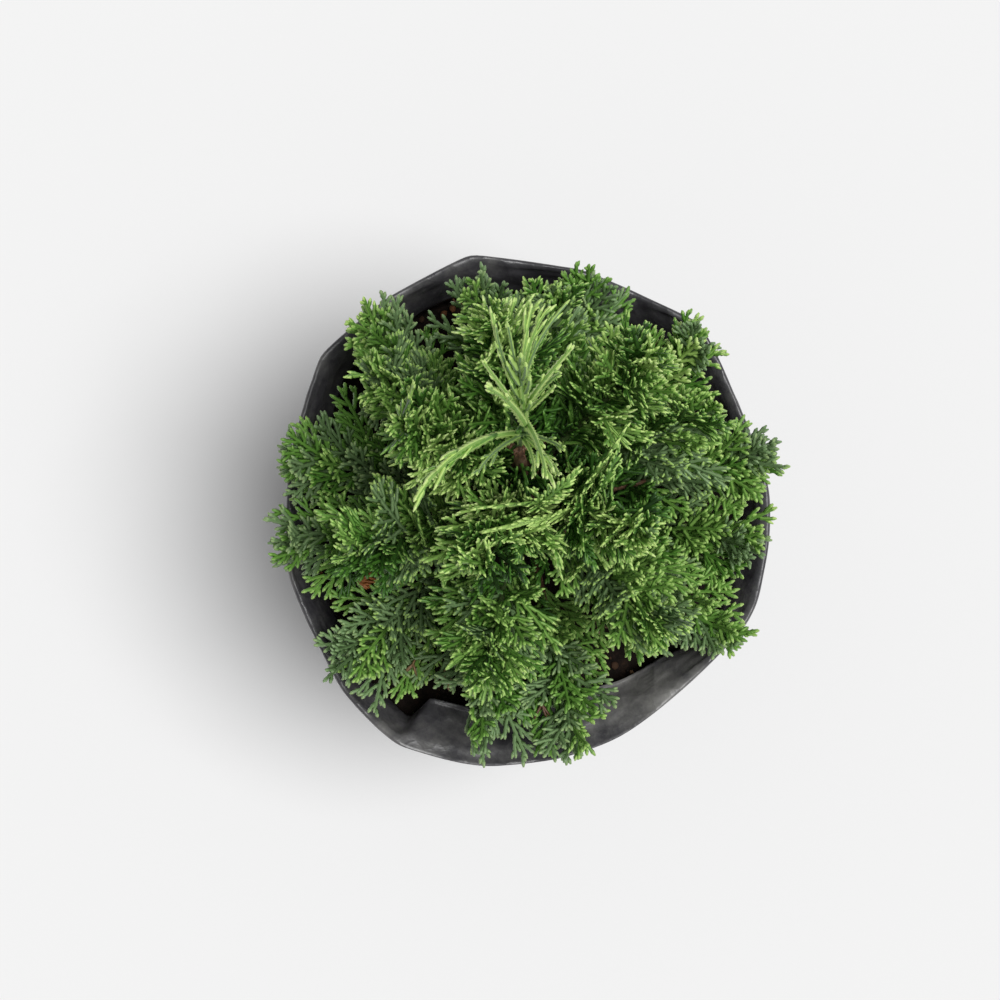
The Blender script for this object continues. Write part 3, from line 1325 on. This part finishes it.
def clear_shoots(spray):
    """A spray's shoots up to where its axis stays clear, without side shoots that don't."""
    branches = spray.branches()
    reach = clear_share(spray.axis, AXIS_STEPS)
    if reach == 0:
        return []
    base, way, bend, _, length = spray.axis[:5]
    kept = [spray.row(base, way, bend * reach, length * reach, AXIS_WIDTH)]
    for share, side, fine in branches:
        if share < reach and clear_share(side, CLEAR_STEPS) == 1:
            kept += [side, *(row for row in fine if clear_share(row, CLEAR_STEPS) == 1)]
    return kept


first_sprays = twig_sprays(limbs[0])
print("clear shoots on the first limb", sum(len(clear_shoots(spray)) for spray in first_sprays))

# %% [markdown]
# Two to four neighbouring masses make one piece, so that none of them gets too many triangles.
# Shoots are finer towards the top of the plant.

# %% The foliage of the three tiers
MASSES_TO_A_PIECE = {"lower": 4, "middle": 3, "upper": 2}
FINENESS = {"lower": 1.0, "middle": 0.94, "upper": 0.86}


def add_finer(shoots, rows, fineness):
    for *place, width, colours in rows:
        shoots.add(*place, width * fineness, colours)


for tier, share in MASSES_TO_A_PIECE.items():
    own = [limb for limb in limbs if limb.tier == tier]
    for first in range(0, len(own), share):
        shoots = Shoots()
        group = own[first:first + share]
        for limb in group:
            for spray in twig_sprays(limb):
                add_finer(shoots, clear_shoots(spray), FINENESS[tier])
        name = f"sprays_{tier}_{first // share + 1}"
        print(len(shoots.rows), "shoots for", name)
        add_piece(name, shoots.mesh(name), greens,
                  [f"foliage_{limb.name}" for limb in group])

# %% [markdown]
# ## The leader
#
# The leading shoot is this year's growth. Its side shoots are long and thin, lie close along it,
# and are lighter in colour than the sprays below. They reach out over the crown like the spokes
# of a wheel. Because they are nearest to the eye, their places are given one by one: where each
# starts, a place half way, and its tip, in millimetres.

# %% The leader's shoots
# Each: foot, half way and tip, and the shoot's width, all in millimetres
LEADER_SHOOTS = (
    ((-2.6, 12.4, 281), (-2.1, 18.9, 322), (-3.7, 27.9, 346), 3.1),
    ((-2.0, 17.5, 322), (-2.7, 27.0, 342), (-0.5, 40.4, 350), 2.2),
    ((-2.6, 18.9, 328), (-0.9, 31.5, 344), (4.0, 39.8, 350), 2.0),
    ((-2.2, 22.0, 334), (0.9, 31.6, 343), (8.7, 42.1, 345), 1.9),
    ((-4.0, 23.7, 337), (-5.0, 29.2, 346), (-6.4, 35.7, 352), 1.8),
    ((-4.5, 22.1, 334), (-7.8, 29.5, 343), (-10.5, 40.0, 348), 1.9),
    ((-6.0, 25.0, 338), (-8.2, 30.6, 345), (-9.1, 35.7, 349), 1.6),
    ((-1.7, 14.3, 316), (-5.9, 18.3, 336), (-11.6, 20.9, 350), 2.8),
    ((-4.3, 18.6, 328), (-9.6, 24.4, 338), (-12.3, 27.5, 344), 1.7),
    ((-1.8, 18.7, 320), (2.9, 23.8, 337), (9.6, 30.9, 347), 2.3),
    ((-1.4, 18.3, 322), (3.5, 23.2, 333), (6.8, 25.1, 340), 1.7),
    ((-1.0, 18.1, 316), (2.7, 20.5, 328), (5.5, 22.5, 336), 1.6),
    ((-2.6, 13.7, 300), (-17.2, 7.5, 328), (-28.8, -6.3, 343), 2.5),
    ((-9.0, 12.1, 316), (-20.8, 3.9, 332), (-27.3, -1.6, 341), 2.1),
    ((-2.4, 13.6, 298), (-9.7, 7.2, 320), (-13.8, 0.6, 335), 2.0),
    ((-1.9, 16.7, 308), (1.4, 7.9, 332), (3.2, -0.9, 344), 2.4),
    ((-2.2, 12.6, 298), (0.2, 5.9, 318), (-0.3, -0.2, 333), 1.6),
    ((-1.6, 12.6, 302), (3.9, 5.6, 322), (6.3, 0.4, 335), 1.6),
    ((-2.0, 13.7, 302), (4.7, 10.2, 318), (7.8, 6.9, 330), 1.8),
)
LEADER_SCALE, LEADER_TAPER, LEADER_STOUT, LEADER_SEED = 0.0032, 0.45, 0.92, 77
# Its side shoots: where they start and how far apart, the angle, their length as a share of the
# shoot's and at least, and their width as a share of it
LEADER_SIDE_FROM, LEADER_STEP, LEADER_ANGLE = 0.40, 0.0088, math.radians(18)
LEADER_SIDE, LEADER_SIDE_LEAST, LEADER_SIDE_WIDTH = 0.15, 0.0042, 0.74
LEADER_SWELL, LEADER_JITTER = (1.2, 0.6), (0.7, 1.2)
# How much of the way left to the tip a side shoot may take, how far ahead it turns forward, and
# how much
LEADER_LONGEST, LEADER_AHEAD, LEADER_BEND = 0.95, 0.3, 0.7


def curve_through(places):
    """The foot of a curve through three places in millimetres, its way, its bend and its length."""
    foot, middle, tip = (Vector(place) / 1000 for place in places)
    way = (middle - foot) * 4 - (tip - foot)
    bend = (tip - foot) * 4 - (middle - foot) * 8
    return foot, way / way.length, bend / way.length, way.length


leader_dice = random.Random(LEADER_SEED)
leader = Shoots()
most, fall = LEADER_SWELL
for *places, width in LEADER_SHOOTS:
    foot, way, bend, length = curve_through(places)
    width = width / 1000 * LEADER_STOUT
    colours = spray_colours(leader_dice, "leader")
    spray = Spray(leader_dice, foot, way, Vector((0, 0, 1)), length, colours, bend)
    rows = [spray.row(foot, way, bend, length, width)]
    first, end = length * LEADER_SIDE_FROM, length - LEADER_SIDE_LEAST
    for place, sign in by_turns(leader_dice, first, 1, end, LEADER_STEP, LEADER_JITTER):
        share = place / length
        size = max(length * LEADER_SIDE * (most - fall * share), LEADER_SIDE_LEAST)
        size = min(size * leader_dice.uniform(*LEADER_JITTER), (length - place) * LEADER_LONGEST)
        out = spray.branch(way_on_shoot(spray.axis, share), sign, LEADER_ANGLE)
        ahead = way_on_shoot(spray.axis, min(share + LEADER_AHEAD, 1))
        start = place_on_shoot(spray.axis, share)
        bend_out = (ahead - out) * LEADER_BEND
        rows.append(spray.row(start, out, bend_out, size, width * LEADER_SIDE_WIDTH))
    for row in rows:
        leader.add(*row, scale=LEADER_SCALE, taper=LEADER_TAPER)
print("the leader has", len(leader.rows), "shoots")

# %% [markdown]
# In front of the leader the picture shows long sprays that rise from the two front boughs of the
# upper ring and lie in arcs over the crown, like a swirl. They follow given places as well, and
# lie against the crown's dome, so their flat side faces away from its middle.

# %% Sprays in arcs
# Each: foot, half way and tip, in millimetres
ARC_SPRAYS = (
    ((10, 0, 246), (3, -3, 282), (-15.5, -5.3, 292)), ((15, -3, 250), (4, -7, 279), (-13.2, -11.4, 286)),
    ((10, -1, 246), (0, -9, 272), (-14.0, -15.5, 280)), ((-4, -2, 249), (3, -3, 285), (12.3, 4.3, 298)),
    ((10, 0, 246), (16, 3, 284), (25.0, 16.2, 300)), ((15, -3, 250), (19, 1, 280), (23.0, 10.4, 294)),
    ((20, -6, 258), (28, 3, 282), (32.7, 17.8, 294)), ((-4, -2, 247), (-1, -11, 268), (-4.3, -19.6, 272)),
    ((-4, -2, 247), (5, -11, 268), (8.3, -22.9, 270)), ((10, 0, 244), (13, -11, 268), (18.2, -21.2, 270)),
    ((15, -3, 250), (20, -8, 270), (27.0, -15.2, 270)),
)
ARC_BREADTH = 0.019
CROWN_MIDDLE = Vector((0.002, 0.012, 0.245))

for places in ARC_SPRAYS:
    foot, way, bend, length = curve_through(places)
    facing = Vector(places[1]) / 1000 - CROWN_MIDDLE
    colours = spray_colours(leader_dice, "upper")
    spray = Spray(leader_dice, foot, way, facing, length, colours, bend, ARC_BREADTH)
    add_finer(leader, clear_shoots(spray), FINENESS["upper"])
print("with arcs", len(leader.rows), "shoots")

# %% [markdown]
# Between and below the leader's long shoots, short sprays stand all round the stem and close the
# crown over the forks, so that no bare wood shows from above.

# %% Sprays round the stem
STEM_SPRAYS = 72
STEM_SPRAYS_FROM, STEM_SPRAYS_TO = 0.196, 0.306
STEM_SPRAY_LENGTH = ((0.0, 0.020), (0.60, 0.015), (0.80, 0.012), (1.0, 0.007))
STEM_SPRAY_RISE = ((0.0, 0.5), (0.6, 1.1), (1.0, 2.0))
STEM_SPRAY_FLAT, STEM_SPRAY_JITTER = 0.12, (0.85, 1.15)
# Above the trunk's tip the stem is the leader's first shoot
LEADER_MIDDLE, LEADER_END = (Vector(place) / 1000 for place in LEADER_SHOOTS[0][1:3])


def stem_at(z):
    """The middle of the stem: the trunk's axis, and above its tip the leader's curve."""
    if z < TRUNK_TIP:
        return trunk_axis(z)
    low, high = (trunk_axis(TRUNK_TIP), LEADER_MIDDLE)
    if z >= LEADER_MIDDLE.z:
        low, high = (LEADER_MIDDLE, LEADER_END)
    return low.lerp(high, (z - low.z) / (high.z - low.z))


for n in range(STEM_SPRAYS):
    share = n / (STEM_SPRAYS - 1)
    base = stem_at(between(STEM_SPRAYS_FROM, STEM_SPRAYS_TO, share))
    way = polar(GOLDEN_TURN * n, 1.0, interpolate(STEM_SPRAY_RISE, share)).normalized()
    length = interpolate(STEM_SPRAY_LENGTH, share) * leader_dice.uniform(*STEM_SPRAY_JITTER)
    spray = spray_on(leader_dice, base, way, STEM_SPRAY_FLAT, length, "inner")
    add_finer(leader, clear_shoots(spray), FINENESS["upper"])
print(len(leader.rows), "shoots in all")
add_piece("sprays_leader", leader.mesh("sprays_leader"), greens, ["foliage_leader"])

# %% [markdown]
# ## Dead bits
#
# A few old shoots have died and turned tan, rust or brown. Some hang under the lower sprays or lie
# on the mix by the film, some lie on top of the sprays, and a few small ones make the brown spot
# in front of the leader.

# %% Dead shoots
# Places in millimetres, the way each points in degrees round from +X, its length and its colour
DEAD_SHOOTS = (
    (-52.1, -23.0, 204, 350, 6.0, "rust"), (-50.0, -22.4, 205, 12, 4.5, "rust"),
    (-51.0, -24.0, 205, 335, 4.0, "rust"), (-34.8, -47.9, 186, 250, 5.0, "tan"),
    (-25.4, -51.0, 186, 285, 5.0, "tan"), (-11.2, -54.0, 190, 265, 5.0, "tan"),
    (21.0, -35.2, 208, 300, 5.0, "tan"), (5.0, -60.0, 188, 270, 6.0, "brown"),
    (-3.0, -52.0, 189, 240, 5.0, "brown"), (-23.1, 70.1, 151, 120, 6.0, "brown"),
    (3.6, 76.0, 150, 60, 5.0, "brown"), (40.3, 59.0, 151, 10, 7.0, "rust"),
    (44.0, 56.0, 151, 70, 5.0, "brown"), (-2.9, 11.9, 279, 255, 2.4, "brown"),
    (-4.2, 12.6, 281, 200, 2.2, "brown"), (-2.0, 12.0, 283, 290, 2.0, "brown"),
    (-3.2, 11.6, 276, 262, 2.6, "brown"), (-3.4, 11.2, 284, 240, 2.0, "brown"),
    (-2.4, 11.4, 273, 275, 2.4, "brown"),
)
DEAD_WIDTH, DEAD_SEED = 0.0012, 9
# Each dead shoot is forked: how far its three ends turn off, how much shorter that makes them and
# how much further along they start, how far they rise or fall, and how much they bend
FORKS, FORK_SHORTER, FORK_START = (-0.5, 0.0, 0.55), 0.7, 0.5
DEAD_RISE, DEAD_BEND = (-0.25, 0.2), 0.3

dead_dice = random.Random(DEAD_SEED)
dead = Shoots()
for x, y, z, heading, length, colour in DEAD_SHOOTS:
    base, length, heading = Vector((x, y, z)) / 1000, length / 1000, math.radians(heading)
    for fork in FORKS:
        way = polar(heading + fork, 1.0, dead_dice.uniform(*DEAD_RISE)).normalized()
        bend = Vector([dead_dice.gauss(0, DEAD_BEND) for _ in range(3)])
        start = base + polar(heading, length * abs(fork) * FORK_START)
        size = length * (1 - abs(fork) * FORK_SHORTER)
        colours = (SLOT["dead_" + colour],) * 4
        dead.add(start, way, bend, Vector((0, 0, 1)), size, DEAD_WIDTH, colours)
add_piece("dead_shoots", dead.mesh("dead_shoots"), greens)
